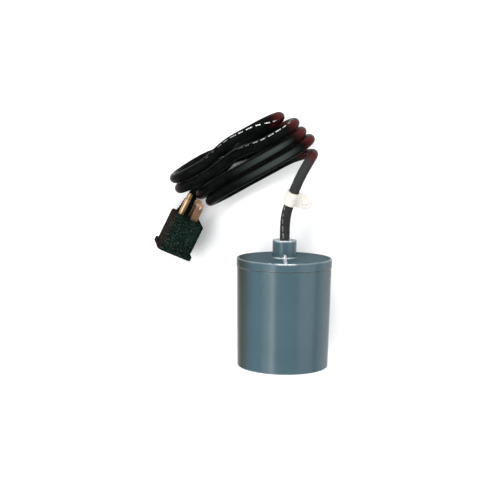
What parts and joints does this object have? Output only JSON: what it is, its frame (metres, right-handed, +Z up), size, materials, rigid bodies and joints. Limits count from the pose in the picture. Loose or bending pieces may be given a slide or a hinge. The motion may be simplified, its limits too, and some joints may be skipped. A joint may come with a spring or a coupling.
{
  "type": "tethered float switch",
  "caption": "Sealed cylindrical float switch on a corded plug: a lidded float with hub, a cord folded into a hank with a cord clamp, and a plug that takes another plug at its back.",
  "frame": {"origin": "on the surface that the float lies on, below the middle of the float's length", "axes": "+Y along the float's axis towards the cap and hub, +Z up, +X to the right seen from the float's base"},
  "size_m": [0.1629, 0.2295, 0.086],
  "materials": {
    "float_shell": "semi-gloss blue-grey moulded plastic",
    "seal_rubber": "matt black rubber",
    "steel": "plain steel",
    "nut_plastic": "pale moulded plastic",
    "cord_jacket": "black cord jacket, slight sheen",
    "carrier_plastic": "natural moulded plastic",
    "ball_steel": "polished bearing steel",
    "switch_black": "black thermoset",
    "plunger_red": "red moulded plastic",
    "copper": "coppery stamped alloy",
    "brass": "brass",
    "core_black": "black core insulation",
    "core_white": "white core insulation",
    "clamp_nylon": "white nylon, slightly warm",
    "plug_pvc": "black stippled moulding",
    "plug_face_plastic": "hard black plastic"
  },
  "bodies": {
    "float": {"float_housing": "float_shell", "float_cap": "float_shell", "cap_seal": "seal_rubber", "cable_seal": "seal_rubber", "seal_washer": "steel", "gland_nut": "nut_plastic", "cord_inner": "cord_jacket", "cord_ferrule": "steel", "switch_carrier": "carrier_plastic", "carrier_screws": "steel", "ball_tube": "carrier_plastic", "tube_stop": "carrier_plastic", "switch_case": "switch_black", "switch_cover": "switch_black", "switch_screws": "steel", "lever_pin": "steel", "common_terminal": "brass", "open_terminal": "brass", "closed_terminal": "brass", "crimp_black": "steel", "crimp_white": "steel", "lead_black": "core_black", "lead_white": "core_white", "cord_to_hank": "cord_jacket", "cord_hank": "cord_jacket", "cord_to_plug": "cord_jacket", "plug_body": "plug_pvc", "plug_face": "plug_face_plastic", "hot_blade": "copper", "neutral_blade": "copper", "earth_pin": "brass", "hot_contact": "brass", "neutral_contact": "brass", "earth_contact": "brass", "plug_strain_relief": "plug_pvc"},
    "ball": {"steel_ball": "ball_steel"},
    "lever": {"lever_arm": "steel"},
    "plunger": {"switch_plunger": "plunger_red"},
    "contact": {"contact_blade": "copper"},
    "clamp": {"cable_clamp": "clamp_nylon"}
  },
  "joints": [
    {"name": "ball_roll", "type": "slide", "parent": "float", "child": "ball", "axis": [0, 1, 0], "range_m": [0, 0.01725]},
    {"name": "lever_press", "type": "hinge", "parent": "float", "child": "lever", "pos_m": [0.018, -0.0149, 0.043], "axis": [0, 0, -1], "range_deg": [0, 4], "stiffness_Nm_per_rad": 0.01, "springref_deg": -11.46},
    {"name": "plunger_push", "type": "slide", "parent": "float", "child": "plunger", "axis": [0, 1, 0], "range_m": [0, 0.00063]},
    {"name": "contact_snap", "type": "hinge", "parent": "float", "child": "contact", "pos_m": [-0.001, -0.0095, 0.043], "axis": [0, 0, 1], "range_deg": [0, 3.6]},
    {"name": "clamp_turn", "type": "hinge", "parent": "float", "child": "clamp", "pos_m": [0.00506, 0.09629, 0.05557], "axis": [0.2909, 0.8956, 0.3365], "range_deg": [-90, 90]}
  ],
  "couplings": [
    {"joint": "plunger_push", "follows": "lever_press", "m_per_rad": 0.009},
    {"joint": "contact_snap", "follows": "lever_press", "ratio": 0.9}
  ]
}
